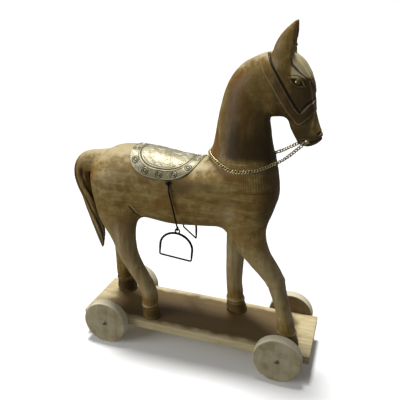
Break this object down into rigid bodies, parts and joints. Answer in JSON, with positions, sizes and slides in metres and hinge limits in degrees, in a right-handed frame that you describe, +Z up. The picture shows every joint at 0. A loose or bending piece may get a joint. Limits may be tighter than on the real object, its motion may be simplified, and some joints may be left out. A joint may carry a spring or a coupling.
{
  "type": "trojan horse statue",
  "caption": "Carved wooden horse standing on a wheeled plank, with an embossed metal saddle, iron stirrups and a chain rein.",
  "frame": {"origin": "on the floor that the wheels stand on, under the middle of the whole statue", "axes": "+Z up, +X towards the horse's muzzle, +Y towards the horse's left side"},
  "size_m": [0.397, 0.1424, 0.5001],
  "materials": {
    "stained_wood": "stained and waxed, satin",
    "plank_wood": "stained, satin, worn edges",
    "wheel_wood": "sanded, matt",
    "saddle_brass": "pale embossed sheet, aged",
    "chain_brass": "aged",
    "iron": "blackened, waxed"
  },
  "bodies": {
    "statue": {"horse": "stained_wood", "plank": "plank_wood", "axle_nail_front_right": "iron", "axle_nail_front_left": "iron", "axle_nail_rear_right": "iron", "axle_nail_rear_left": "iron", "saddle": "saddle_brass", "stirrup_strap_right": "iron", "stirrup_strap_left": "iron", "strap_nail_right": "iron", "strap_nail_left": "iron", "stirrup_right": "iron", "stirrup_left": "iron", "rein_chain": "chain_brass", "mouth_nail_right": "chain_brass", "mouth_nail_left": "chain_brass", "eye_right": "chain_brass", "eye_left": "chain_brass"},
    "front_right": {"wheel_front_right": "wheel_wood"},
    "front_left": {"wheel_front_left": "wheel_wood"},
    "rear_right": {"wheel_rear_right": "wheel_wood"},
    "rear_left": {"wheel_rear_left": "wheel_wood"}
  },
  "joints": [
    {"name": "front_right_spin", "type": "hinge", "parent": "statue", "child": "front_right", "pos_m": [0.15345, -0.0615, 0.036], "axis": [0, 1, 0], "continuous": true},
    {"name": "front_left_spin", "type": "hinge", "parent": "statue", "child": "front_left", "pos_m": [0.15345, 0.0615, 0.036], "axis": [0, 1, 0], "continuous": true},
    {"name": "rear_right_spin", "type": "hinge", "parent": "statue", "child": "rear_right", "pos_m": [-0.12655, -0.0615, 0.036], "axis": [0, 1, 0], "continuous": true},
    {"name": "rear_left_spin", "type": "hinge", "parent": "statue", "child": "rear_left", "pos_m": [-0.12655, 0.0615, 0.036], "axis": [0, 1, 0], "continuous": true}
  ]
}
